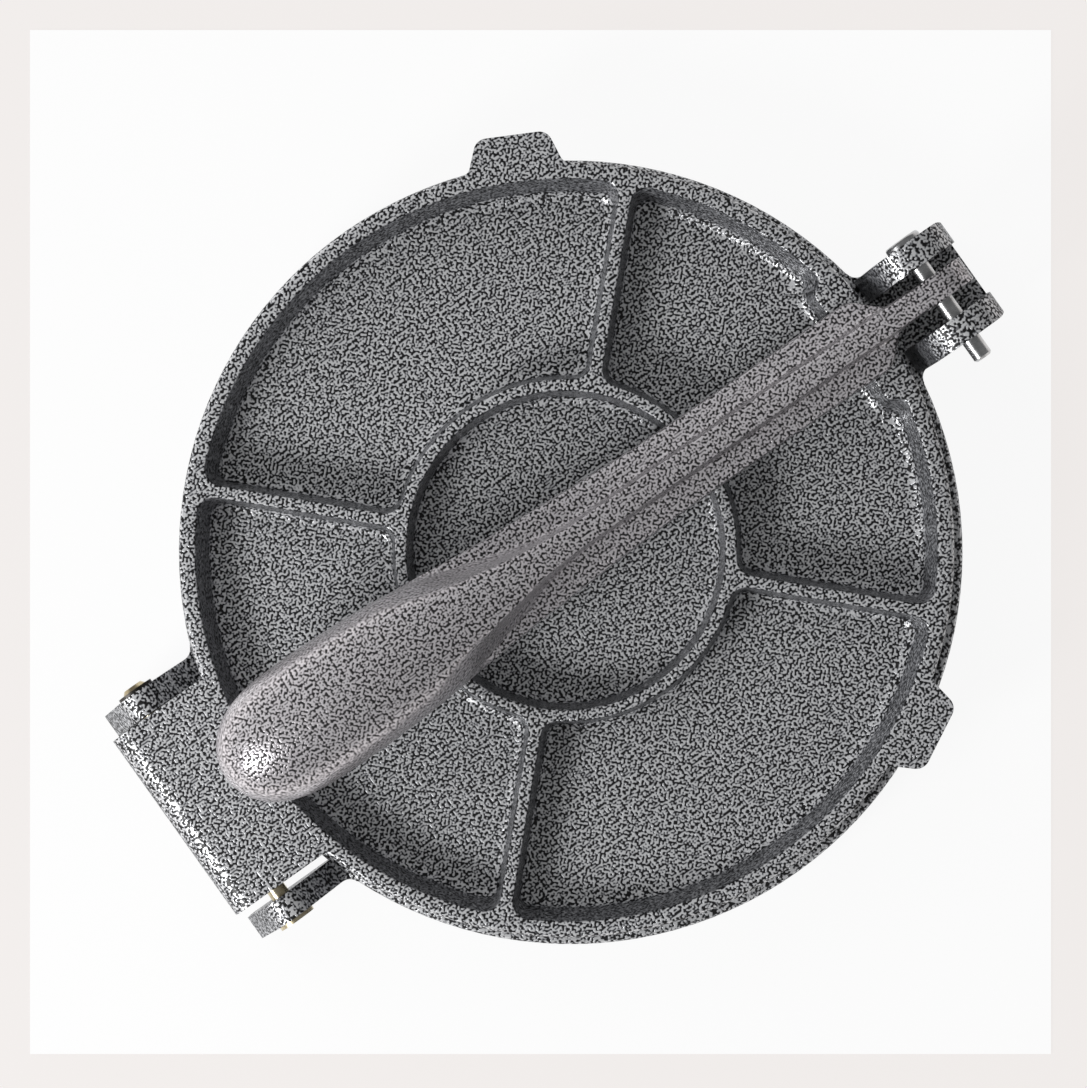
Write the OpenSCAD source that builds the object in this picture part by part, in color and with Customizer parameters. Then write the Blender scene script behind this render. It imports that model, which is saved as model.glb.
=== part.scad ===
// Tortilla press with a lever handle: two round cast plates hinged at one end and
// pressed together by a handle pinned at the other.
// Origin: centre of the plates, on the bench. +X runs from the hinge to the handle
// pin, +Z is up, and both pins lie along Y.

/* [Base plate] */
// Diameter of the base plate
base_d = 210.6; // [207:0.2:216]
// Height of the pressing face above the bench
base_h = 12; // [10:0.5:15]
// Thickness of the base plate between its ribs
base_web = 5; // [3.5:0.5:7]
// Width of the base plate's rim where it stands on the bench
base_rim_w = 6; // [4:0.5:9]

/* [Upper plate] */
// Diameter of the upper plate
plate_d = 205; // [196:0.5:206]
// Height of the upper plate, from its pressing face to the top of its rim
plate_h = 16.6; // [13:0.2:17]
// Thickness of the upper plate between its ribs
plate_web = 5; // [3.5:0.5:7]
// Width of the rim's flat top
plate_rim_w = 4.4; // [3:0.2:7]
// Gap between the closed pressing faces
press_gap = 0.3; // [0.2:0.05:0.6]
// Sideways rest position of the upper plate between the hinge ears
plate_side = 1.2; // [0:0.1:1.3]

/* [Ring and ribs] */
// Diameter of the ring, measured on its middle line
ring_d = 87.4; // [70:0.2:100]
// Width of the ring's top
ring_w = 3.2; // [2:0.1:6]
// Width of a rib's top
rib_w = 3.4; // [2:0.1:6]
// Draft of the rim's inner wall, in degrees
rim_draft = 15; // [5:1:18]
// Draft of the pad's sides, in degrees
pad_draft = 10; // [4:1:15]
// Draft of the ring and rib walls, in degrees
rib_draft = 6; // [2:1:10]
// Fillet at the foot of the rim's inner wall
rim_foot_r = 3.5; // [2:0.1:4.5]
// Fillet at the foot of the ring and ribs
rib_foot_r = 2.5; // [1.5:0.1:3.5]
// Corner radius of the pockets at their top edge
pocket_r = 4.5; // [3.5:0.1:8]
// Rounding of the top edges around the pockets
edge_r = 0.8; // [0.4:0.1:1.2]
// Rounding of the plates' upper outer edges
outer_r = 1.6; // [0.6:0.1:2]
// Rounding of the plates' lower outer edges
low_outer_r = 0.8; // [0.3:0.1:1.2]

/* [Lifting tabs] */
// Direction of each tab, in degrees from the handle pin
tab_angle = 62; // [40:1:80]
// How far a tab stands out from the upper plate
tab_reach = 7.9; // [5:0.1:12]
// Width of a tab where it leaves the plate
tab_root_w = 25.2; // [20:0.2:32]
// Taper of each side of a tab, in degrees
tab_taper = 20; // [5:1:25]
// Corner radius of a tab
tab_r = 3.6; // [1:0.1:5]
// Fillet between a tab and the plate
tab_root_r = 2; // [1:0.1:4]
// Thickness of a tab
tab_h = 6; // [4:0.5:10]

/* [Handle pad] */
// Length of the pad that the handle presses on, across the plate
pad_w = 35; // [26:0.5:44]
// How far the pad reaches inward from the rim's inner edge
pad_reach = 6; // [4:0.2:10]
// Corner radius of the pad
pad_r = 1.8; // [1:0.1:4]
// Fillet between the pad's sides and the rim
pad_root_r = 3; // [1:0.1:4]

/* [Hinge] */
// Distance from the centre of the plates to the hinge pin
hinge_x = 115.6; // [114.6:0.2:120]
// Height of the hinge pin above the bench
hinge_z = 20.6; // [19:0.2:23]
// Distance between the hinge ears
hinge_slot = 59.8; // [50:0.2:66]
// Thickness of each hinge ear
hinge_ear_t = 6.8; // [5:0.1:9]
// How far the hinge ears reach outward from the pin
hinge_ear_reach = 12.4; // [9:0.1:14]
// Radius of the top of a hinge ear
hinge_ear_r = 5.8; // [4.8:0.1:7]
// Height of the upright outer end of a hinge ear
hinge_ear_end_h = 9; // [5:0.5:12]
// How far inside the base plate's edge the slope of a hinge ear ends
hinge_ear_foot = 4.6; // [4.4:0.1:5.6]
// Chamfer at the outer foot of a hinge ear
hinge_ear_chamfer = 0.6; // [0.3:0.1:1.5]
// Width of the upper plate's hinge tongue
tongue_w = 56.6; // [46:0.2:56.8]
// How far the tongue reaches outward from the pin
tongue_reach = 12.4; // [10:0.1:13]
// Rounding of the tongue's outer top edge
tongue_top_r = 6.5; // [3:0.1:8]
// Rounding of the tongue's outer bottom edge
tongue_low_r = 3.4; // [2.8:0.1:6]

/* [Clevis] */
// Distance from the centre of the plates to the handle pin
clevis_x = 118.8; // [117.8:0.2:124]
// Height of the handle pin above the bench
clevis_z = 32; // [31:0.2:35]
// Distance between the clevis ears
clevis_slot = 16; // [13:0.2:18]
// Thickness of each clevis ear
clevis_ear_t = 7; // [5:0.1:9]
// Radius of the top of a clevis ear
clevis_ear_r = 11.2; // [9:0.1:11.5]
// How far the clevis reaches outward from the pin
clevis_reach = 12.4; // [11.6:0.1:13]
// How far the foot of a clevis ear reaches inward from the pin
clevis_foot = 15; // [13.6:0.1:15.2]
// Height of the floor between the clevis ears
clevis_floor_z = 10; // [6:0.5:12]
// Corner radius of the clevis, seen from above
clevis_corner_r = 3.6; // [1:0.1:5]
// Fillet where ears leave the round of the base plate
root_r = 3.4; // [2:0.1:6]
// How far those fillets stop below the pressing face
root_drop = 0.5; // [0.3:0.1:2]

/* [Pins] */
// Diameter of both pins
pin_d = 5.2; // [4:0.1:6]
// Running clearance around a pin, on the radius
pin_clear = 0.05; // [0.02:0.01:0.09]
// Diameter of the hinge pin's head
hinge_head_d = 10.4; // [8:0.1:11]
// Thickness of the hinge pin's head
hinge_head_t = 1; // [0.6:0.1:2]
// Diameter of the hinge pin's peened end
peen_d = 7; // [6.4:0.1:8]
// Height of the hinge pin's peened end
peen_t = 1; // [0.6:0.1:2]
// Chamfer of the hinge pin's peened end
peen_chamfer = 0.8; // [0.3:0.1:0.9]
// Diameter of the washer under the peened end
washer_d = 10.2; // [8.4:0.1:12]
// Thickness of the washer
washer_t = 0.8; // [0.6:0.1:1.5]
// Diameter of the handle pin's head
handle_head_d = 10.2; // [8:0.1:12]
// Thickness of the handle pin's head
handle_head_t = 1.6; // [1:0.1:3]
// Rounding of the handle pin's head
handle_head_r = 0.9; // [0.3:0.1:0.9]
// How far the handle pin's plain end stands out
handle_pin_tail = 6.2; // [3:0.1:8]
// Chamfer of the handle pin's plain end
pin_chamfer = 0.6; // [0.3:0.1:1]
// Gap under heads and washer
seat_gap = 0.05; // [0.02:0.01:0.1]

/* [Handle] */
// Length of the handle from its pin to the end of the grip
handle_len = 224.5; // [212:0.5:228]
// Thickness of the handle's pivot boss
boss_t = 6.8; // [5:0.1:9]
// Radius of the handle's pivot boss
boss_r = 9.8; // [8:0.1:10.2]
// Width of the ridge along the top of the shank
ridge_w = 6.6; // [5:0.1:8]
// Height of the ridge above the pin where it leaves the boss
ridge_h = 9.7; // [8:0.1:10.2]
// Rounding of the ridge's top edges
ridge_edge_r = 1; // [0.4:0.1:1.4]
// Fillet between the ridge and a flange
groove_r = 2.4; // [1:0.1:2.8]
// Width of the shank across its flanges
flange_w = 21; // [16:0.5:26]
// Thickness of a flange at its edge
flange_t = 4.6; // [3:0.1:6]
// Rounding of a flange's top edge
flange_top_r = 1.3; // [0.6:0.1:1.8]
// Rounding of a flange's bottom edge
flange_low_r = 0.7; // [0.3:0.1:1]
// Distance from the pin to where the flanges start
boss_s = 12; // [11:0.5:14]
// Distance from the pin to where the flanges are at their full width
neck_s = 22.5; // [20:0.5:30]
// Distance from the pin to where the top starts to rise
rise_s = 40; // [30:1:60]
// Distance from the pin to where the outline starts to widen into the grip
waist_s = 70; // [55:1:90]
// Height of the flanges' underside above the top of the upper plate
shank_lift = 2.1; // [1.9:0.1:3]
// Diameter of the grip at its widest
grip_d = 34; // [28:0.5:38]
// Distance from the pin to the widest part of the grip
grip_s = 194; // [185:1:200]
// Distance from the pin to where the ridge starts to swell into the grip
swell_s = 109; // [95:1:120]
// Length over which the section turns from flanged to round
swell_len = 60; // [50:1:70]
// Clearance between the grip and the upper plate's rim
grip_lift = 2; // [1.5:0.1:5]
// Length of the foot that presses on the pad
foot_len = 7.5; // [5:0.1:8]
// Width of the foot
foot_w = 18; // [12:0.5:20]
// Clearance between the foot and the pad
foot_gap = 0.3; // [0.2:0.05:0.5]
// Sideways rest position of the handle in the clevis
handle_side = 0.75; // [0:0.05:1.5]
// Sideways set of the shank, in degrees
handle_set = 0.9; // [0:0.1:1.2]

/* [Hidden] */

base_r = base_d / 2;
plate_r = plate_d / 2;
plate_z = base_h + press_gap;
rim_top_z = plate_z + plate_h;
bore_d = pin_d + 2 * pin_clear;
bore_fn = 96;
overcut = 1;
joint_depth = 1;

rim_inner_r = plate_r - plate_rim_w;
hinge_half = hinge_slot / 2 + hinge_ear_t;
clevis_half = clevis_slot / 2 + clevis_ear_t;
clevis_end_x = clevis_x + clevis_reach;

// Points along an arc of radius r around c, from angle a to angle b
function arc(c, r, a, b, n) = [for (i = [0:n]) c + r * [cos(a + (b - a) * i / n), sin(a + (b - a) * i / n)]];

function smooth(t) = let (u = min(1, max(0, t))) u * u * (3 - 2 * u);

// Where the straight line from p touches the circle of radius r around c
function touch(p, c, r, side) =
    let (v = c - p, d = norm(v), a = atan2(v[1], v[0]) + side * asin(r / d))
    p + sqrt(d * d - r * r) * [cos(a), sin(a)];

// How far a pocket's wall stands inward of its top edge, z above the pocket's floor:
// rounded at the top, drafted below and filleted at the foot
function wall_inset(z, h, draft, foot_r) =
    let (
        top_c = -edge_r * (1 - sin(draft)) / cos(draft),
        foot_c = foot_r / cos(draft) + (h - foot_r) * tan(draft)
    )
    z > h - edge_r * (1 - sin(draft))
        ? top_c + sqrt(max(0, pow(edge_r, 2) - pow(z - h + edge_r, 2)))
    : z < foot_r * (1 - sin(draft))
        ? foot_c - sqrt(max(0, pow(foot_r, 2) - pow(foot_r - z, 2)))
    : (h - z) * tan(draft);

// Heights at which a wall is drawn, from the floor up to its top edge
function wall_levels(h) = concat(
    [for (a = [0:18:72]) rim_foot_r * (1 - cos(a))],
    [for (a = [20:35:90]) h - edge_r + edge_r * sin(a)]
);

// Twice the area of the triangle a, b, c, positive if it turns to the left
function turn(a, b, c) = (b[0] - a[0]) * (c[1] - a[1]) - (b[1] - a[1]) * (c[0] - a[0]);

// Whether no point of the ring lies in the triangle at its place k, so that the
// corner there can be cut off
function is_ear(points, ring, k) =
    let (
        n = len(ring),
        a = points[ring[(k + n - 1) % n]],
        b = points[ring[k % n]],
        c = points[ring[(k + 1) % n]]
    )
    turn(a, b, c) > 0 && len([
        for (i = ring)
            let (q = points[i])
            if (q != a && q != b && q != c)
                if (turn(a, b, q) >= 0 && turn(b, c, q) >= 0 && turn(c, a, q) >= 0)
                    i
    ]) == 0;

function first_ear(points, ring, k, tries) =
    tries == 0 || is_ear(points, ring, k) ? k % len(ring) : first_ear(points, ring, k + 1, tries - 1);

// Triangles that fill a ring of points, with one corner cut off at a time
function fill(points, ring, start = 0) =
    len(ring) == 3 ? [ring]
    : let (
        n = len(ring),
        k = first_ear(points, ring, start, n)
    )
    concat(
        [[ring[(k + n - 1) % n], ring[k], ring[(k + 1) % n]]],
        fill(points, [for (i = [0:n - 1]) if (i != k) ring[i]], k + 1)
    );

// Solid through flat outlines of equal point counts, given from the lowest up with
// the height of each
module loft(outlines, levels) {
    n = len(outlines[0]);
    m = len(outlines);
    ring = [for (i = [0:n - 1]) i];
    polyhedron(
        points = [for (k = [0:m - 1], p = outlines[k]) [p[0], p[1], levels[k]]],
        faces = concat(
            fill(outlines[0], ring),
            [for (k = [0:m - 2], i = [0:n - 1])
                let (j = (i + 1) % n) each [
                    [k * n + i, (k + 1) * n + i, (k + 1) * n + j],
                    [k * n + i, (k + 1) * n + j, k * n + j]
                ]],
            [for (t = fill(outlines[m - 1], ring)) [for (i = [2:-1:0]) (m - 1) * n + t[i]]]
        ),
        convexity = 6
    );
}

// A pocket's boundary along the rim, from angle -a to angle a
function rim_side(r, a) = arc([0, 0], r, -a, a, 22);

// The same with the handle's pad standing inward from the rim, its walls set out by d
function rim_side_with_pad(r, a, d) =
    let (
        f = pad_root_r,
        c = pad_r + max(0, d),
        y = pad_w / 2 + d,
        root_c = [sqrt(pow(r - f, 2) - pow(y + f, 2)), -y - f],
        root_a = atan2(root_c[1], root_c[0]),
        low = concat(
            arc([0, 0], r, -a, root_a - 1, 8),
            arc(root_c, f, root_a, 90, 6),
            arc([rim_inner_r - pad_reach - d + c, c - y], c, 270, 180, 6)
        )
    )
    concat(low, [for (i = [len(low) - 1:-1:0]) [low[i][0], -low[i][1]]]);

// Outline of one pocket between two ribs, the ring and the rim. The rim's wall
// stands in by rim_in, the ribs' by rib_in and the pad's by pad_in. The pocket's
// middle line lies along +X.
function pocket_outline(rim_r, rim_in, rib_in, pad_in, with_pad) =
    let (
        r_out = rim_r - rim_in,
        r_in = ring_d / 2 + ring_w / 2 + rib_in,
        c = max(1, pocket_r - rib_in * 0.8),
        off = rib_w / 2 + rib_in + c,
        a_out = 45 - asin(off / (r_out - c)),
        a_in = 45 - asin(off / (r_in + c)),
        half = concat(
            arc((r_out - c) * [cos(a_out), sin(a_out)], c, a_out, 135, 5),
            arc((r_in + c) * [cos(a_in), sin(a_in)], c, 135, 180 + a_in, 5)
        ),
        inner = arc([0, 0], r_in, a_in, -a_in, 14),
        outer = with_pad ? rim_side_with_pad(r_out, a_out, pad_in) : rim_side(r_out, a_out)
    )
    concat(
        half,
        [for (i = [1:len(inner) - 2]) inner[i]],
        [for (i = [len(half) - 1:-1:0]) [half[i][0], -half[i][1]]],
        [for (i = [1:len(outer) - 2]) outer[i]]
    );

// The four pockets between the ribs, h deep, opening upward at z = h
module rib_pockets(rim_r, h, with_pad = false) {
    levels = concat(wall_levels(h), [h + overcut]);
    for (k = [0:3])
        rotate([0, 0, 90 * k])
            loft(
                [for (z = levels)
                    let (w = min(z, h))
                    pocket_outline(
                        rim_r,
                        wall_inset(w, h, rim_draft, rim_foot_r),
                        wall_inset(w, h, rib_draft, rib_foot_r),
                        wall_inset(w, h, pad_draft, rim_foot_r),
                        with_pad && k == 0
                    )],
                levels
            );
}

// The round pocket inside the ring, h deep, opening upward at z = h
module ring_pocket(h) {
    r = ring_d / 2 - ring_w / 2;
    wall = [for (z = wall_levels(h)) [r - wall_inset(z, h, rib_draft, rib_foot_r), z]];
    rotate_extrude($fn = 180)
        polygon(concat([[0, 0]], wall, [[wall[len(wall) - 1][0], h + overcut], [0, h + overcut]]));
}

// Plain disc with rounded outer edges
module disc(r, h, top_r, low_r) {
    rotate_extrude($fn = 240)
        polygon(concat(
            [[0, 0]],
            arc([r - low_r, low_r], low_r, 270, 360, 5),
            arc([r - top_r, h - top_r], top_r, 0, 90, 5),
            [[0, h]]
        ));
}

// Flat profile in X and Z, carried from y0 to y1
module side_profile(points, y0, y1) {
    translate([0, y1, 0])
        rotate([90, 0, 0])
            linear_extrude(height = y1 - y0)
                polygon(points);
}

// Fillet in the corner between the round of the base plate and the outer side of an
// ear. side is +1 at the clevis and -1 at the hinge, half is the ear's outer side.
module root_fillet(side, half) {
    c = [sqrt(pow(base_r + root_r, 2) - pow(half + root_r, 2)), half + root_r];
    a = atan2(c[1], c[0]);
    inner = [c[0] - root_r - base_rim_w, half - overcut];
    outline = concat(
        [inner, [c[0], half - overcut]],
        arc(c, root_r, 270, 180 + a, 6),
        [[(base_r - overcut) * cos(a + 1), (base_r - overcut) * sin(a + 1)]]
    );
    for (y = [-1, 1])
        scale([side, y, 1])
            linear_extrude(height = base_h - root_drop)
                polygon(outline);
}

module pin_bore(x, z, length) {
    translate([x, length / 2, z])
        rotate([90, 0, 0])
            cylinder(d = bore_d, h = length, $fn = bore_fn);
}

// Both hinge ears, standing outward from the base plate's round
module hinge_ears() {
    c = [-hinge_x, hinge_z];
    low = [-hinge_x - hinge_ear_reach, hinge_ear_end_h];
    foot = [-(base_r - hinge_ear_foot), base_h - joint_depth];
    inner_x = joint_depth - sqrt(pow(base_r, 2) - pow(hinge_half, 2));
    t_out = touch(low, c, hinge_ear_r, 1);
    t_in = touch(foot, c, hinge_ear_r, -1);
    a_out = atan2(t_out[1] - c[1], t_out[0] - c[0]);
    a_in = atan2(t_in[1] - c[1], t_in[0] - c[0]);
    profile = concat(
        [[low[0], hinge_ear_chamfer], low],
        arc(c, hinge_ear_r, a_out, a_in, 14),
        [foot, [inner_x, foot[1]], [inner_x, 0], [low[0] + hinge_ear_chamfer, 0]]
    );
    for (y = [-hinge_half, hinge_slot / 2])
        side_profile(profile, y, y + hinge_ear_t);
}

// Clevis with two ears that carry the handle pin
module clevis() {
    c = [clevis_x, clevis_z];
    foot = [clevis_x - clevis_foot, base_h - joint_depth];
    t_in = touch(foot, c, clevis_ear_r, 1);
    a_in = atan2(t_in[1] - c[1], t_in[0] - c[0]);
    profile = concat(
        [[base_r - base_rim_w, 0], [base_r - base_rim_w, foot[1]], foot],
        arc(c, clevis_ear_r, a_in, 0, 20),
        [[clevis_end_x, base_h], [clevis_end_x, 0]]
    );
    corner = [clevis_end_x - clevis_corner_r, clevis_half - clevis_corner_r];
    quarter = arc(corner, clevis_corner_r, 0, 90, 6);
    plan = concat(
        [[0, -clevis_half]],
        [for (i = [len(quarter) - 1:-1:0]) [quarter[i][0], -quarter[i][1]]],
        quarter,
        [[0, clevis_half]]
    );
    intersection() {
        side_profile(profile, -clevis_half, clevis_half);
        linear_extrude(height = clevis_z + clevis_ear_r + overcut)
            polygon(plan);
    }
}

module clevis_slot_cut() {
    length = clevis_end_x - base_r + overcut;
    translate([base_r, -clevis_slot / 2, clevis_floor_z])
        cube([length, clevis_slot, clevis_z + clevis_ear_r]);
    translate([clevis_x - clevis_foot - overcut, -clevis_slot / 2, base_h])
        cube([length, clevis_slot, clevis_z + clevis_ear_r]);
}

module base_plate() {
    pocket_h = base_h - base_web;
    color([0.50, 0.50, 0.52])
    difference() {
        union() {
            disc(base_r, base_h, outer_r, low_outer_r);
            hinge_ears();
            clevis();
            root_fillet(-1, hinge_half);
            root_fillet(1, clevis_half);
        }
        translate([0, 0, pocket_h])
            mirror([0, 0, 1]) {
                rib_pockets(base_r - base_rim_w, pocket_h);
                ring_pocket(pocket_h);
            }
        clevis_slot_cut();
        pin_bore(-hinge_x, hinge_z, 2 * hinge_half + 2 * overcut);
        pin_bore(clevis_x, clevis_z, 2 * clevis_half + 2 * overcut);
    }
}

// Lifting tab along +X, with a tapered outline that runs into the plate's edge
module tab() {
    g = tab_taper;
    root_x = sqrt(pow(plate_r, 2) - pow(tab_root_w / 2, 2));
    n = [sin(g), cos(g)];
    u = [cos(g), -sin(g)];
    line = n * [root_x, tab_root_w / 2];
    root_c = n * (line + tab_root_r) + u * sqrt(pow(plate_r + tab_root_r, 2) - pow(line + tab_root_r, 2));
    end_x = plate_r + tab_reach;
    corner_x = end_x - tab_r;
    corner_c = [corner_x, (line - tab_r - n[0] * corner_x) / n[1]];
    root_a = atan2(root_c[1], root_c[0]);
    inner_r = plate_r - plate_rim_w / 2;
    half = concat(
        [[inner_r * cos(root_a + 1), inner_r * sin(root_a + 1)]],
        arc(root_c, tab_root_r, 180 + root_a, 270 - g, 5),
        arc(corner_c, tab_r, 90 - g, 0, 6)
    );
    outline = concat(half, [for (i = [len(half) - 1:-1:0]) [half[i][0], -half[i][1]]]);
    translate([0, 0, plate_h - tab_h])
        linear_extrude(height = tab_h)
            polygon(outline);
}

// Wide tongue that fills the space between the hinge ears
module hinge_tongue() {
    x = -hinge_x - tongue_reach;
    inner_x = joint_depth - sqrt(pow(plate_r, 2) - pow(tongue_w / 2, 2));
    side_profile(
        concat(
            [[inner_x, 0]],
            arc([x + tongue_low_r, tongue_low_r], tongue_low_r, 270, 180, 5),
            arc([x + tongue_top_r, plate_h - tongue_top_r], tongue_top_r, 180, 90, 8),
            [[inner_x, plate_h]]
        ),
        -tongue_w / 2, tongue_w / 2
    );
}

module upper_plate() {
    pocket_h = plate_h - plate_web;
    color([0.55, 0.55, 0.57])
    translate([0, plate_side, plate_z])
    difference() {
        union() {
            disc(plate_r, plate_h, outer_r, low_outer_r);
            hinge_tongue();
            for (side = [-1, 1])
                rotate([0, 0, side * tab_angle])
                    tab();
        }
        translate([0, 0, plate_web]) {
            rib_pockets(rim_inner_r, pocket_h, true);
            ring_pocket(pocket_h);
        }
        pin_bore(-hinge_x, hinge_z - plate_z, tongue_w + 2 * overcut);
    }
}

// The handle is drawn along its length: s is the distance from the pin, and heights
// are counted from the pin
grip_r = grip_d / 2;
under_z = rim_top_z + shank_lift - clevis_z;
grip_axis_z = rim_top_z + grip_lift + grip_r - clevis_z;
cap_len = handle_len - grip_s;
flare_power = 1.25;
rise_power = 1.6;
cap_power = 3;
point_s = 0.02;

// Share of the full grip left at s, falling to nothing at its rounded end
function cap(s) = s < grip_s ? 1 : sqrt(max(0, 1 - pow((s - grip_s) / cap_len, cap_power)));

// How far the section has turned from flanged to round, 0 to 1
function swell(s) = smooth((s - swell_s) / swell_len);

// Half width of the handle's outline, seen from above
function half_w(s) = ridge_w / 2
    + (flange_w - ridge_w) / 2 * smooth((s - boss_s) / (neck_s - boss_s))
    + (grip_r - flange_w / 2) * pow(smooth((s - waist_s) / (grip_s - waist_s)), flare_power);

function top_z(s) = ridge_h
    + (grip_axis_z + grip_r - ridge_h) * pow(smooth((s - rise_s) / (grip_s - rise_s)), rise_power);
function low_z(s) = under_z + (grip_axis_z - grip_r - under_z) * swell(s);

// Half of the flanged section from the ridge's top centre to the underside's centre.
// The groove and the flange shrink away where the section is no wider than the ridge.
function flanged_half(w, top, low) =
    let (
        draft = ridge_w / 20,
        e = ridge_w / 2,
        f = max(point_s, w - e - draft),
        shelf = low + flange_t,
        edge = shelf - draft,
        groove_h = min(groove_r, (top - shelf) * 0.45),
        groove_w = min(groove_r, f * 0.5),
        r = min(flange_top_r, f * 0.45),
        q = flange_low_r
    )
    concat(
        [[0, top], [e * 0.55, top]],
        arc([e - ridge_edge_r, top - ridge_edge_r], ridge_edge_r, 70, 0, 2),
        [[e + draft / 2, (top + shelf) / 2 + draft]],
        [for (a = [180:22.5:270]) [e + draft + groove_w * (1 + cos(a)), shelf + groove_h * (1 + sin(a))]],
        arc([w - r, edge - r], r, 90, 0, 2),
        arc([w - q, low + q], q, 0, -90, 2),
        [[w * 0.4, low], [0, low]]
    );

// Angles around the round section that the points of flanged_half move to
round_angles = [90, 78, 66, 56, 47, 38, 30, 22, 14, 6, -2, -9, -16, -23, -30, -38, -46, -54, -70, -90];

function section(s) =
    let (
        w = half_w(s) * cap(s),
        axis_z = (top_z(s) + low_z(s)) / 2,
        h = (top_z(s) - low_z(s)) / 2 * cap(s),
        b = swell(s),
        flat = flanged_half(half_w(s), top_z(s), low_z(s)),
        half = [for (i = [0:len(flat) - 1])
            (1 - b) * flat[i] + b * [w * cos(round_angles[i]), axis_z + h * sin(round_angles[i])]]
    )
    concat([for (p = half) [-p[0], p[1]]], [for (i = [len(half) - 2:-1:1]) half[i]]);

stations = concat(
    [joint_depth],
    [for (i = [0:6]) boss_s + (neck_s - boss_s) * i / 6],
    [for (i = [1:4]) neck_s + (swell_s - neck_s) * i / 5],
    [for (i = [0:14]) swell_s + (grip_s - swell_s) * i / 15],
    [for (a = [0:10:80]) grip_s + cap_len * pow(sin(a), 2 / cap_power)],
    [handle_len - point_s]
);

module shank_and_grip() {
    rotate([90, 0, -90])
        loft([for (s = stations) section(s)], stations);
}

module handle() {
    foot_end = clevis_x - (rim_inner_r - pad_reach);
    foot_z = rim_top_z + foot_gap - clevis_z;
    color([0.62, 0.61, 0.61])
    translate([clevis_x, handle_side, clevis_z])
    difference() {
        union() {
            rotate([0, 0, -handle_set]) {
                shank_and_grip();
                translate([-foot_end, -foot_w / 2, foot_z])
                    cube([foot_len, foot_w, under_z - foot_z + flange_t / 2]);
            }
            translate([0, boss_t / 2, 0])
                rotate([90, 0, 0])
                    cylinder(r = boss_r, h = boss_t, $fn = bore_fn);
        }
        pin_bore(0, 0, boss_t + 2 * overcut);
    }
}

module hinge_pin() {
    near = -hinge_half - seat_gap - hinge_head_t / 2;
    far = hinge_half + seat_gap + washer_t + seat_gap;
    color([0.80, 0.74, 0.55])
    translate([-hinge_x, 0, hinge_z])
    rotate([-90, 0, 0]) {
        translate([0, 0, -hinge_half - seat_gap - hinge_head_t])
            cylinder(d = hinge_head_d, h = hinge_head_t, $fn = bore_fn);
        translate([0, 0, near])
            cylinder(d = pin_d, h = far - near + peen_t / 2, $fn = bore_fn);
        translate([0, 0, far])
            cylinder(d1 = peen_d, d2 = peen_d - 2 * peen_chamfer, h = peen_t, $fn = bore_fn);
    }
}

module hinge_washer() {
    color([0.35, 0.34, 0.33])
    translate([-hinge_x, hinge_half + seat_gap, hinge_z])
    rotate([-90, 0, 0])
    difference() {
        cylinder(d = washer_d, h = washer_t, $fn = bore_fn);
        translate([0, 0, -overcut])
            cylinder(d = bore_d, h = washer_t + 2 * overcut, $fn = bore_fn);
    }
}

module handle_pin() {
    head_r = handle_head_d / 2;
    r = handle_head_r;
    tail_y = clevis_half + handle_pin_tail;
    length = tail_y + clevis_half + seat_gap;
    color([0.85, 0.86, 0.88])
    translate([clevis_x, 0, clevis_z])
    rotate([-90, 0, 0]) {
        translate([0, 0, -tail_y])
            cylinder(d1 = pin_d - 2 * pin_chamfer, d2 = pin_d, h = pin_chamfer, $fn = bore_fn);
        translate([0, 0, -tail_y + pin_chamfer])
            cylinder(d = pin_d, h = length - pin_chamfer + handle_head_t / 2, $fn = bore_fn);
        translate([0, 0, clevis_half + seat_gap])
            rotate_extrude($fn = bore_fn)
                polygon(concat(
                    [[0, 0], [head_r, 0]],
                    arc([head_r - r, handle_head_t - r], r, 0, 90, 5),
                    [[0, handle_head_t]]
                ));
    }
}

base_plate();
upper_plate();
handle();
hinge_pin();
hinge_washer();
handle_pin();
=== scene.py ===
import math
import bpy
from mathutils import Matrix, Vector

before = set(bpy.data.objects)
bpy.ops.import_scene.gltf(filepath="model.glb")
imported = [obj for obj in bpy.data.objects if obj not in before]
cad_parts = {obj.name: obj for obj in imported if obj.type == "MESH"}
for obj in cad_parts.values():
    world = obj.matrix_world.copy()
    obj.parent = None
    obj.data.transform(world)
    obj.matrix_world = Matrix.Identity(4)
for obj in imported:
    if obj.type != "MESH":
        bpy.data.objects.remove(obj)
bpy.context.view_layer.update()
scene = bpy.context.scene
mm = 0.001
print("frame loaded")


# Camera: almost straight overhead, with the hinge at the lower left of the picture

cameraSettings = {
    "eye": (27.9, 2.6, 1048.6),      # mm
    "target": (-4.2, 6.0, 15.0),     # mm
    "rollDegrees": 35.43,            # how far the hinge-to-clevis line is turned in the picture
    "focalPixels": 3865.5,
    "pictureWidth": 1087,            # pixels
    "pictureHeight": 1088,
    "sensorWidth": 36.0,             # mm
    "nearest": 0.01,                 # m
    "farthest": 20,
}


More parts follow.
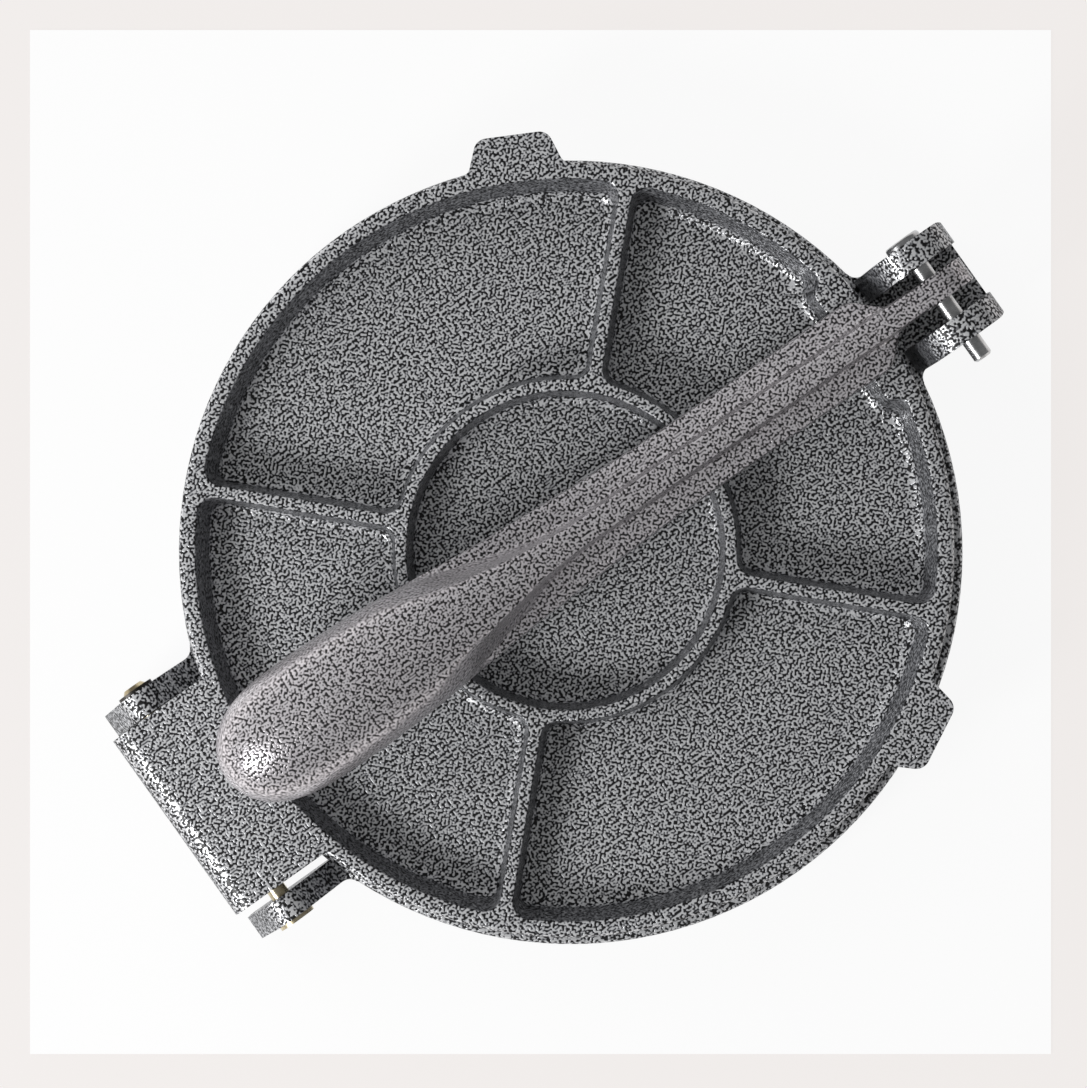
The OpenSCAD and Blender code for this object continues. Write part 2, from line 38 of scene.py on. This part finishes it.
def makeCamera(settings):
    data = bpy.data.cameras.new("overheadCamera")
    data.sensor_fit = "HORIZONTAL"
    data.sensor_width = settings["sensorWidth"]
    data.lens = settings["focalPixels"] * settings["sensorWidth"] / settings["pictureWidth"]
    data.clip_start = settings["nearest"]
    data.clip_end = settings["farthest"]
    eye = Vector(settings["eye"]) * mm
    forward = (Vector(settings["target"]) * mm - eye).normalized()
    levelRight = Vector((1, 0, 0)) - forward * forward.x
    levelRight.normalize()
    levelUp = levelRight.cross(forward)
    roll = math.radians(settings["rollDegrees"])
    right = levelRight * math.cos(roll) - levelUp * math.sin(roll)
    up = levelRight * math.sin(roll) + levelUp * math.cos(roll)
    camera = bpy.data.objects.new("overheadCamera", data)
    camera.matrix_world = Matrix((
        (right.x, up.x, -forward.x, eye.x),
        (right.y, up.y, -forward.y, eye.y),
        (right.z, up.z, -forward.z, eye.z),
        (0, 0, 0, 1),
    ))
    scene.collection.objects.link(camera)
    scene.camera = camera
    return right, up, forward, eye


right, up, forward, eye = makeCamera(cameraSettings)
print("camera made")


# Small helpers for materials

def linearColour(hexText):
    # sRGB hex as a painter writes it, to the linear values that the shader wants
    channels = [int(hexText[i:i + 2], 16) / 255 for i in (1, 3, 5)]
    return [c / 12.92 if c <= 0.04045 else ((c + 0.055) / 1.055) ** 2.4 for c in channels] + [1.0]


def addNode(tree, kind, feeds=None, **settings):
    # a node with its settings; each feed is a number, a colour or another node's output
    made = tree.nodes.new(kind)
    for name, value in settings.items():
        setattr(made, name, value)
    for key, value in (feeds or {}).items():
        if isinstance(value, bpy.types.NodeSocket):
            tree.links.new(value, made.inputs[key])
        else:
            made.inputs[key].default_value = value
    return made


def newMaterial(name):
    material = bpy.data.materials.new(name)
    material.use_nodes = True
    tree = material.node_tree
    tree.nodes.clear()
    return material, tree


# Silver vein paint on cast iron: a half gloss enamel whose aluminium flake draws apart
# as it dries. On the plates the eye sees small silver islands in a dense tangle of black
# worms, on the handle a warmer, lighter skin with thinner broken veins.

platePaint = {
    "name": "silverVeinPaintPlates",
    "vein": "#060607",
    "shore": "#55565a",      # thin grey edge between a vein and an island
    "island": "#a6a7ab",
    "crest": "#eeeff1",      # flake piled up in the middle of an island
    "veinMm": 0.725,         # grain of the tangle; its veins repeat at about twice this
    "wormMm": 0.08,          # how far the veins are pushed about
    "liftMm": 0.1,           # brings the level faces onto layers of the noise, where it is finest
    "veinShare": 0.42,       # more of this and the veins widen
    "closedOnWalls": 0.75,   # how far the pattern evens out on a steep wall and takes on the painted shade below
    "wallStarts": 0.8,       # upward part of the normal where that begins
    "wallIsSteep": 0.3,      # and where it is complete
    "paintedWallShade": 0.02,        # and how far above a vein the evened skin lies: a dark grey, painted shade on the walls of pockets, ribs and rim
    "domeMm": 0.10,          # height of an island over its veins
    "roughness": 0.27,
    "metallic": 0.35,
    "coat": 0.15,
}

handlePaint = {
    "name": "silverVeinPaintHandle",
    "vein": "#201e20",
    "shore": "#757274",
    "island": "#bab6ba",
    "crest": "#f2eef2",
    "veinMm": 0.71,
    "wormMm": 0.1,
    "endsFrom": 0.66,        # part of the normal along X where the tangle is laid on from the end
    "topFrom": 0.5,          # upward part of the normal where it is laid on from above
    "sideBlend": 0.1,        # and how fast one side gives way to the next
    "veinShare": 0.395,
    "closedOnWalls": 0.7,
    "wallStarts": 0.9,
    "wallIsSteep": 0.45,
    "paintedWallShade": 0.025,       # how far above a vein the evened skin lies on steep walls: a dark grey, painted shade in the grooves beside the ridge of the shank
    "paintedGripLight": 0.09,    # and on the round sides of the grip: a lighter grey, painted light
    "gripEndsMm": 35,        # X where the grip has become the shank
    "gripFadesMm": 40,       # length over which the grip's painted light turns into the shank's painted shade
    "domeMm": 0.08,
    "roughness": 0.29,
    "metallic": 0.5,
    "coat": 0.15,
}

veinSteps = {                # heights in the tangle, counted from veinShare
    "vein": -0.03,
    "shore": 0.025,
    "island": 0.08,
    "crest": 0.17,
    "shineFrom": -0.04,      # flake begins
    "shineTo": 0.06,         # flake is complete
    "domeFrom": -0.05,
    "domeTo": 0.2,
}

enamel = {
    "veinRoughness": 0.6,
    "ior": 1.5,
    "specular": 0.45,
    "coatRoughness": 0.2,
    "flakeMm": 0.35,         # coarser than real flake, so that it shows
    "flakeShare": 0.15,      # its height beside that of the dome
    "relief": 0.8,           # strength of the bump
    "softEdgeMm": 0.35,      # the paint rounds every edge by this much
    "softEdgeSamples": 4,
}


def tangleOfWorms(tree, settings, spot, start):
    # low in a vein, high on an island: a first noise pushes the start about in the level,
    # and a second one draws the tangle where that leads
    perMetre = 1000 / settings["veinMm"]
    push = addNode(tree, "ShaderNodeTexNoise", {
        "Vector": spot,
        "Scale": perMetre,
        "Detail": 0.0,
    })
    reach = settings["wormMm"] * 2 * mm
    wandered = addNode(tree, "ShaderNodeVectorMath", {
        0: push.outputs["Color"],
        1: (reach, reach, 0),
        2: start,
    }, operation="MULTIPLY_ADD")
    tangle = addNode(tree, "ShaderNodeTexNoise", {
        "Vector": wandered.outputs[0],
        "Scale": perMetre,
        "Detail": 0.0,
    })
    return tangle.outputs["Fac"]


def tangleInSpace(tree, place, settings):
    # drawn through the solid, for castings that are mostly level
    middle = settings["wormMm"] * mm
    start = addNode(tree, "ShaderNodeVectorMath", {
        0: place.outputs["Object"],
        1: (-middle, -middle, settings["liftMm"] * mm),
    }, operation="ADD")
    return tangleOfWorms(tree, settings, place.outputs["Object"], start.outputs[0])


def tangleFromThreeSides(tree, place, settings):
    # laid on flat from the side, then from the end and from above, so that it is as fine
    # on a slope as on a level
    spot = addNode(tree, "ShaderNodeSeparateXYZ", {0: place.outputs["Object"]})
    facing = addNode(tree, "ShaderNodeSeparateXYZ", {0: place.outputs["Normal"]})

    def laidFlat(across, upwards):
        flat = addNode(tree, "ShaderNodeCombineXYZ", {
            "X": spot.outputs[across],
            "Y": spot.outputs[upwards],
        })
        return tangleOfWorms(tree, settings, flat.outputs[0], flat.outputs[0])

    laidOn = laidFlat("X", "Z")
    sides = (
        ("Y", "Z", "X", settings["endsFrom"]),
        ("X", "Y", "Z", settings["topFrom"]),
    )
    for across, upwards, faces, least in sides:
        towards = addNode(tree, "ShaderNodeMath", {0: facing.outputs[faces]}, operation="ABSOLUTE")
        share = addNode(tree, "ShaderNodeMapRange", {
            "Value": towards.outputs[0],
            "From Min": least,
            "From Max": least + settings["sideBlend"],
        })
        laidOn = addNode(tree, "ShaderNodeMix", {
            0: share.outputs[0],
            2: laidOn,
            3: laidFlat(across, upwards),
        }).outputs[0]
    return laidOn


def evenedWithPaintedLightOnWalls(tree, place, settings, veins):
    # paint runs a little on steep walls, which evens out the veins there; the tone they take is
    # painted shade, a dark grey on the plates and beside the shank's ridge, and painted light, a
    # lighter grey, on the round of the grip
    facing = addNode(tree, "ShaderNodeSeparateXYZ", {0: place.outputs["Normal"]})
    level = addNode(tree, "ShaderNodeMath", {0: facing.outputs["Z"]}, operation="ABSOLUTE")
    closed = addNode(tree, "ShaderNodeMapRange", {
        "Value": level.outputs[0],
        "From Min": settings["wallIsSteep"],
        "From Max": settings["wallStarts"],
        "To Min": settings["closedOnWalls"],
        "To Max": 0.0,
    }, interpolation_type="SMOOTHSTEP")
    # painted shade: the dark grey that steep walls take
    paintedWallTone = settings["veinShare"] + settings["paintedWallShade"]
    # on the handle, painted light on the grip's round sides that fades into the shank's painted
    # shade
    if "gripEndsMm" in settings:
        spot = addNode(tree, "ShaderNodeSeparateXYZ", {0: place.outputs["Object"]})
        paintedWallTone = addNode(tree, "ShaderNodeMapRange", {
            "Value": spot.outputs["X"],
            "From Min": (settings["gripEndsMm"] - settings["gripFadesMm"]) * mm,
            "From Max": settings["gripEndsMm"] * mm,
            "To Min": settings["veinShare"] + settings["paintedGripLight"],
            "To Max": paintedWallTone,
        }).outputs[0]
    mixed = addNode(tree, "ShaderNodeMix", {
        0: closed.outputs[0],
        2: veins,
        3: paintedWallTone,
    })
    return mixed.outputs[0]


def islandRelief(tree, place, settings, height):
    # each island is a low dome, with a grain of flake on it
    flake = addNode(tree, "ShaderNodeTexNoise", {
        "Vector": place.outputs["Object"],
        "Scale": 1000 / enamel["flakeMm"],
        "Detail": 1.0,
    })
    dome = addNode(tree, "ShaderNodeMapRange", {
        "Value": height,
        "From Min": settings["veinShare"] + veinSteps["domeFrom"],
        "From Max": settings["veinShare"] + veinSteps["domeTo"],
    }, interpolation_type="SMOOTHSTEP")
    grain = addNode(tree, "ShaderNodeMath", {
        0: flake.outputs["Fac"],
        1: enamel["flakeShare"],
        2: dome.outputs[0],
    }, operation="MULTIPLY_ADD")
    soft = addNode(tree, "ShaderNodeBevel", {
        "Radius": enamel["softEdgeMm"] * mm,
    }, samples=enamel["softEdgeSamples"])
    relief = addNode(tree, "ShaderNodeBump", {
        "Strength": enamel["relief"],
        "Distance": settings["domeMm"] * mm,
        "Height": grain.outputs[0],
        "Normal": soft.outputs[0],
    })
    return relief.outputs[0]


def silverVeinPaint(settings, drawVeins):
    material, tree = newMaterial(settings["name"])
    place = addNode(tree, "ShaderNodeTexCoord")
    # steep walls even out and take painted shade, or painted light on the grip
    height = evenedWithPaintedLightOnWalls(tree, place, settings, drawVeins(tree, place, settings))

    # from the bottom of a vein up to the crest of an island
    tones = ("vein", "shore", "island", "crest")
    colour = addNode(tree, "ShaderNodeValToRGB", {"Fac": height})
    marks = colour.color_ramp.elements
    while len(marks) < len(tones):
        marks.new(0.5)       # anywhere: its place is set next
    for mark, tone in zip(marks, tones):
        mark.position = settings["veinShare"] + veinSteps[tone]
        mark.color = linearColour(settings[tone])

    # the black enamel in a vein is duller and has no flake
    shine = {}
    for quality, inVein in (("roughness", enamel["veinRoughness"]), ("metallic", 0.0)):
        shine[quality] = addNode(tree, "ShaderNodeMapRange", {
            "Value": height,
            "From Min": settings["veinShare"] + veinSteps["shineFrom"],
            "From Max": settings["veinShare"] + veinSteps["shineTo"],
            "To Min": inVein,
            "To Max": settings[quality],
        })
    paint = addNode(tree, "ShaderNodeBsdfPrincipled", {
        "Base Color": colour.outputs["Color"],
        "Roughness": shine["roughness"].outputs[0],
        "Metallic": shine["metallic"].outputs[0],
        "IOR": enamel["ior"],
        "Specular IOR Level": enamel["specular"],
        "Coat Weight": settings["coat"],
        "Coat Roughness": enamel["coatRoughness"],
        "Normal": islandRelief(tree, place, settings, height),
    })
    addNode(tree, "ShaderNodeOutputMaterial", {"Surface": paint.outputs[0]})
    return material


# Zinc plated steel, drawn and cut: bright, a little blue or yellow from the passivate,
# with fine rings from the die that stretch each highlight along the pin

brightZinc = {
    "name": "brightZincPlatedSteel",
    "colour": "#d4d5d6",
    "dull": "#a9aaab",       # where the passivate has clouded
    "roughness": 0.27,
    "ringMm": 0.5,           # coarser than real die marks, so that they show
}

yellowZinc = {
    "name": "yellowZincPlatedSteel",
    "colour": "#ded3b6",
    "dull": "#a5946c",
    "roughness": 0.26,
    "ringMm": 0.5,
}

# Black oxide steel: stamped, dark and nearly matt, so the washer reads as a dark ring

darkSteel = {
    "name": "blackOxideSteel",
    "colour": "#55524f",
    "dull": "#2c2a29",
    "roughness": 0.42,
    "ringMm": 0.7,
}

steelMarks = {
    "roundThePin": 0.12,     # die marks change this much slower round the pin than along it
    "ringsFrom": 0.3,
    "ringsTo": 0.7,
    "smoother": 0.06,        # taken from the roughness between two rings
    "rougher": 0.1,          # added to it on a ring
    "relief": 0.4,
    "ringDepthMm": 0.02,
    "stainMm": 3.0,
    "stainFrom": 0.4,
    "stainTo": 0.75,
}


def finishedSteel(settings):
    material, tree = newMaterial(settings["name"])
    place = addNode(tree, "ShaderNodeTexCoord")
    stretched = addNode(tree, "ShaderNodeVectorMath", {
        0: place.outputs["Object"],
        1: (steelMarks["roundThePin"], 1.0, steelMarks["roundThePin"]),
    }, operation="MULTIPLY")
    rings = addNode(tree, "ShaderNodeTexNoise", {
        "Vector": stretched.outputs[0],
        "Scale": 1000 / settings["ringMm"],
        "Detail": 2.0,
    })
    stain = addNode(tree, "ShaderNodeTexNoise", {
        "Vector": place.outputs["Object"],
        "Scale": 1000 / steelMarks["stainMm"],
        "Detail": 3.0,
    })
    tone = addNode(tree, "ShaderNodeMapRange", {
        "Value": stain.outputs["Fac"],
        "From Min": steelMarks["stainFrom"],
        "From Max": steelMarks["stainTo"],
    })
    colour = addNode(tree, "ShaderNodeMix", {
        "Factor": tone.outputs[0],
        "A": linearColour(settings["colour"]),
        "B": linearColour(settings["dull"]),
    }, data_type="RGBA")
    rough = addNode(tree, "ShaderNodeMapRange", {
        "Value": rings.outputs["Fac"],
        "From Min": steelMarks["ringsFrom"],
        "From Max": steelMarks["ringsTo"],
        "To Min": settings["roughness"] - steelMarks["smoother"],
        "To Max": settings["roughness"] + steelMarks["rougher"],
    })
    relief = addNode(tree, "ShaderNodeBump", {
        "Strength": steelMarks["relief"],
        "Distance": steelMarks["ringDepthMm"] * mm,
        "Height": rings.outputs["Fac"],
    })
    steel = addNode(tree, "ShaderNodeBsdfPrincipled", {
        "Base Color": colour.outputs["Result"],
        "Roughness": rough.outputs[0],
        "Metallic": 1.0,
        "Normal": relief.outputs[0],
    })
    addNode(tree, "ShaderNodeOutputMaterial", {"Surface": steel.outputs[0]})
    return material


plateFinish = silverVeinPaint(platePaint, tangleInSpace)
finishes = {
    "base_plate": plateFinish,
    "upper_plate": plateFinish,
    "handle": silverVeinPaint(handlePaint, tangleFromThreeSides),
    "hinge_pin": finishedSteel(yellowZinc),
    "hinge_washer": finishedSteel(darkSteel),
    "handle_pin": finishedSteel(brightZinc),
}

shadeSettings = {
    "weldMm": 0.002,         # points closer than this are one point
    "sharpDegrees": 34,      # edges sharper than this stay sharp
    "faceWeight": 50,        # large faces lead the shading of the fillets beside them
}


def shadeSmoothly(node, settings):
    # modifiers only: they shade the surface and leave its points where the CAD put them
    node.data.shade_smooth()
    weld = node.modifiers.new("weld", "WELD")
    weld.merge_threshold = settings["weldMm"] * mm
    split = node.modifiers.new("sharpEdges", "EDGE_SPLIT")
    split.split_angle = math.radians(settings["sharpDegrees"])
    split.use_edge_sharp = False
    weighted = node.modifiers.new("evenShading", "WEIGHTED_NORMAL")
    weighted.weight = settings["faceWeight"]
    weighted.keep_sharp = False


for nodeName, material in finishes.items():
    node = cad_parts[nodeName]
    node.data.materials.clear()
    node.data.materials.append(material)
    shadeSmoothly(node, shadeSettings)
print("finishes set on the castings, pins and washer")


# White card on a pale table. The camera and reflections see both at their own colour,
# with a little of the press's soft shadow; other light meets them as plain pale paper.

stageSettings = {
    "card": "#ffffff",
    "table": "#f4f0ee",
    "cardLeft": 30,          # where the card's edges lie in the picture, in pixels
    "cardTop": 30,
    "cardRight": 1051,
    "cardBottom": 1054,
    "cardHeightMm": -0.2,    # clear of the press's foot
    "tableHeightMm": -0.6,
    "tableHalf": 3.0,        # m from the middle to each edge
    "shadowShare": 0.08,     # how much of the sheets' own lighting the camera sees
}


def stageMaterial(name, hexText):
    material, tree = newMaterial(name)
    path = addNode(tree, "ShaderNodeLightPath")
    seen = addNode(tree, "ShaderNodeMath", {
        0: path.outputs["Is Camera Ray"],
        1: path.outputs["Is Glossy Ray"],
    }, operation="MAXIMUM")
    seenThrough = addNode(tree, "ShaderNodeMath", {
        0: seen.outputs[0],
        1: path.outputs["Is Transmission Ray"],
    }, operation="MAXIMUM")
    share = addNode(tree, "ShaderNodeMath", {
        0: seenThrough.outputs[0],
        1: 1 - stageSettings["shadowShare"],
    }, operation="MULTIPLY")
    lit = addNode(tree, "ShaderNodeBsdfDiffuse", {"Color": linearColour(hexText)})
    plain = addNode(tree, "ShaderNodeEmission", {"Color": linearColour(hexText), "Strength": 1.0})
    both = addNode(tree, "ShaderNodeMixShader", {
        0: share.outputs[0],
        1: lit.outputs[0],
        2: plain.outputs[0],
    })
    addNode(tree, "ShaderNodeOutputMaterial", {"Surface": both.outputs[0]})
    return material


def floorPoint(px, py, height):
    # where the line through a picture point meets a level plane
    focal = cameraSettings["focalPixels"]
    ray = (forward
           + right * ((px - cameraSettings["pictureWidth"] / 2) / focal)
           - up * ((py - cameraSettings["pictureHeight"] / 2) / focal))
    return eye + ray * ((height - eye.z) / ray.z)


def makeSheet(name, corners, material):
    mesh = bpy.data.meshes.new(name)
    mesh.from_pydata([tuple(c) for c in corners], [], [list(range(len(corners)))])
    mesh.materials.append(material)
    sheet = bpy.data.objects.new(name, mesh)
    scene.collection.objects.link(sheet)


def layStage(settings):
    cardHeight = settings["cardHeightMm"] * mm
    tableHeight = settings["tableHeightMm"] * mm
    half = settings["tableHalf"]
    makeSheet("whiteCard", [
        floorPoint(settings["cardLeft"], settings["cardBottom"], cardHeight),
        floorPoint(settings["cardRight"], settings["cardBottom"], cardHeight),
        floorPoint(settings["cardRight"], settings["cardTop"], cardHeight),
        floorPoint(settings["cardLeft"], settings["cardTop"], cardHeight),
    ], stageMaterial("whiteCardPaper", settings["card"]))
    makeSheet("paleTable", [
        (-half, -half, tableHeight),
        (half, -half, tableHeight),
        (half, half, tableHeight),
        (-half, half, tableHeight),
    ], stageMaterial("paleTableTop", settings["table"]))


layStage(stageSettings)
print("card and table laid")


# Light: a wide soft box high on one side with a strip of white under it, both left out
# of reflections, and a small lamp on the hinge side that draws the bright lines on
# rounded edges. Nothing hangs overhead, so that the veins stay dark from above.

lampSettings = {
    "windowBox": {
        "from": (-0.15, 0.80, 0.57),     # direction from the middle of the press
        "distance": 1.4,                 # m
        "size": 1.6,                     # m
        "power": 7.0,                    # W
        "mirrored": False,               # whether the paint and the steel reflect it
    },
    "whiteSide": {
        "from": (-0.25, 0.96, 0.20),
        "distance": 0.8,
        "size": 0.9,
        "height": 0.26,
        "power": 1.1,
        "mirrored": False,
    },
    "hingeLamp": {
        "from": (-0.815, -0.08, 0.574),
        "distance": 0.9,
        "size": 0.28,
        "power": 4.4,
        "mirrored": True,
    },
}


def makeLamp(name, settings):
    data = bpy.data.lights.new(name, "AREA")
    data.shape = "RECTANGLE" if "height" in settings else "DISK"
    data.size = settings["size"]
    data.size_y = settings.get("height", settings["size"])
    data.energy = settings["power"]
    lamp = bpy.data.objects.new(name, data)
    direction = Vector(settings["from"]).normalized()
    lamp.location = direction * settings["distance"]
    lamp.rotation_euler = direction.to_track_quat("Z", "Y").to_euler()
    lamp.visible_camera = False
    lamp.visible_glossy = settings["mirrored"]
    scene.collection.objects.link(lamp)


for lampName, settings in lampSettings.items():
    makeLamp(lampName, settings)

worldSettings = {
    "colour": "#ffffff",
    "roomStrength": 0.19,    # light that the press gets from all round
    "seenStrength": 1.0,     # what the camera sees past the table
}


def makeWorld(settings):
    world = bpy.data.worlds.new("studio")
    scene.world = world
    world.use_nodes = True
    tree = world.node_tree
    tree.nodes.clear()
    path = addNode(tree, "ShaderNodeLightPath")
    room = addNode(tree, "ShaderNodeBackground", {
        "Color": linearColour(settings["colour"]),
        "Strength": settings["roomStrength"],
    })
    paper = addNode(tree, "ShaderNodeBackground", {
        "Color": linearColour(settings["colour"]),
        "Strength": settings["seenStrength"],
    })
    both = addNode(tree, "ShaderNodeMixShader", {
        0: path.outputs["Is Camera Ray"],
        1: room.outputs[0],
        2: paper.outputs[0],
    })
    addNode(tree, "ShaderNodeOutputWorld", {"Surface": both.outputs[0]})


makeWorld(worldSettings)
scene.view_settings.view_transform = "Standard"
print("lamps and room lit")
